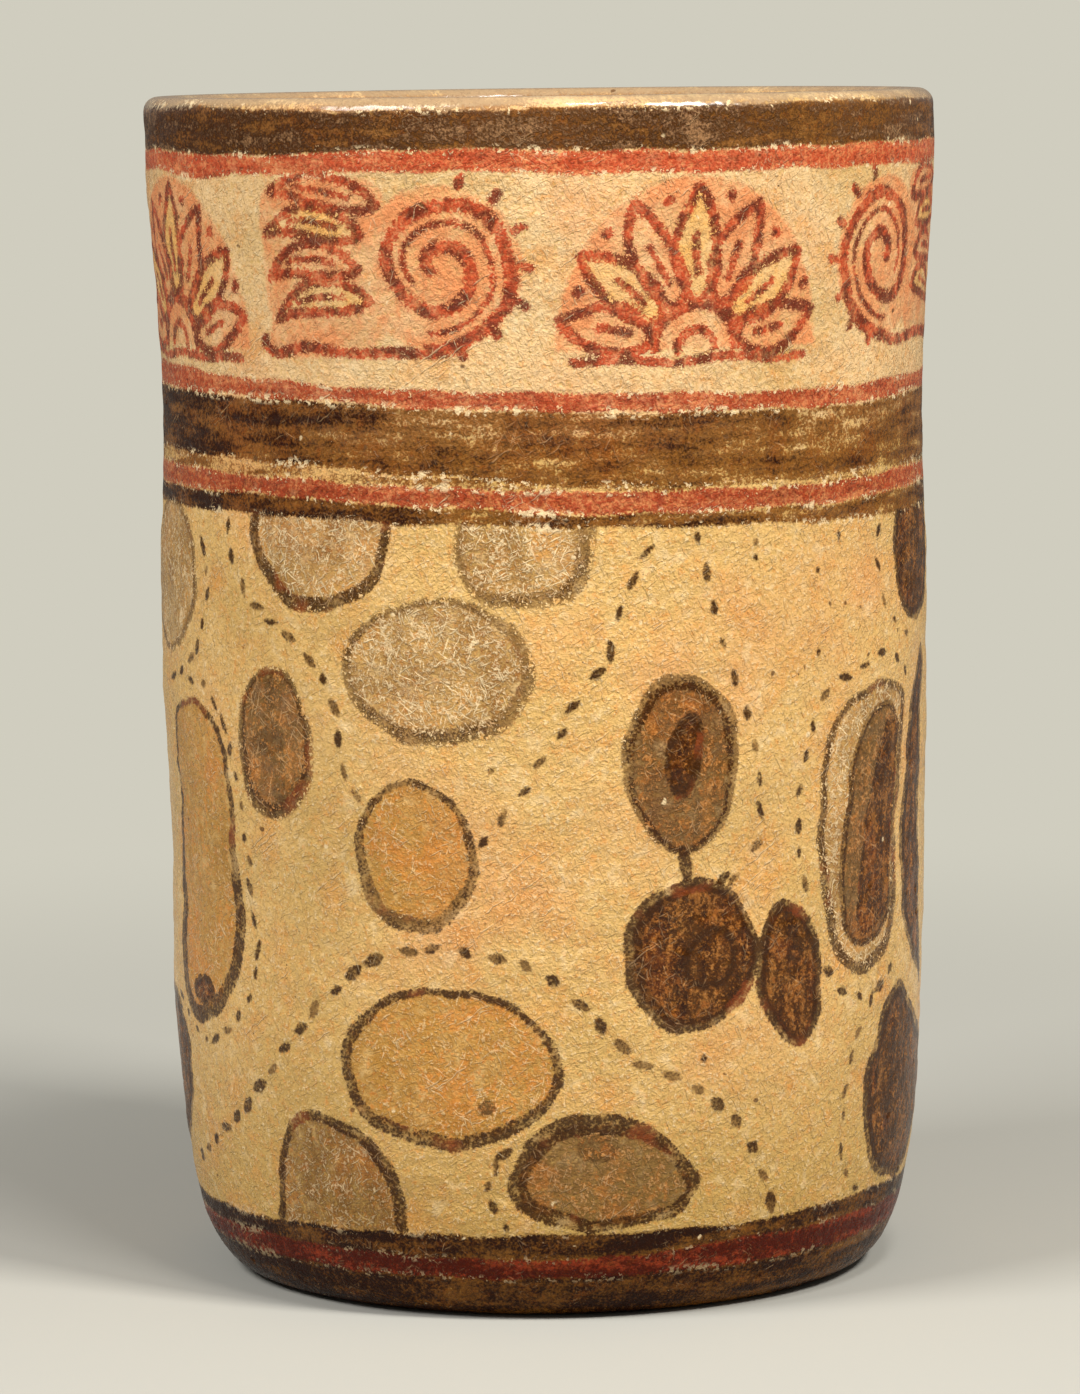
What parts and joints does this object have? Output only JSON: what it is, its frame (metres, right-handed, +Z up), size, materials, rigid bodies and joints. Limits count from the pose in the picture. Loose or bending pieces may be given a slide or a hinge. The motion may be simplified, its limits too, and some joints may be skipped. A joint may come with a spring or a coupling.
{
  "type": "cylinder vase",
  "caption": "Tall round-walled open vase of painted earthenware with a flat foot, rounded heel, painted registers and a rounded lip.",
  "frame": {"origin": "centre of the flat foot, on the plane that the vase stands on", "axes": "+Z up along the vase's axis, towards the open mouth; -Y is the side that the picture shows"},
  "size_m": [0.122, 0.122, 0.1832],
  "materials": {
    "banded_foot": "worn burnished slip with dark brown and red bands, bare clay underneath",
    "buff_slip": "burnished buff-ochre slip with brown painted ovals and dotted lines",
    "brown_band": "worn brown-black band between red lines on a buff slip",
    "cream_slip": "burnished cream slip with red-outlined painted ornament",
    "dark_lip": "burnished brown-black paint over the lip, worn along its edge"
  },
  "bodies": {
    "root": {"floor_disc": "banded_foot", "heel_coil": "buff_slip", "wall_coil_1": "buff_slip", "wall_coil_2": "buff_slip", "wall_coil_3": "buff_slip", "wall_coil_4": "buff_slip", "wall_coil_5": "brown_band", "wall_coil_6": "cream_slip", "lip_coil": "dark_lip"}
  },
  "joints": []
}
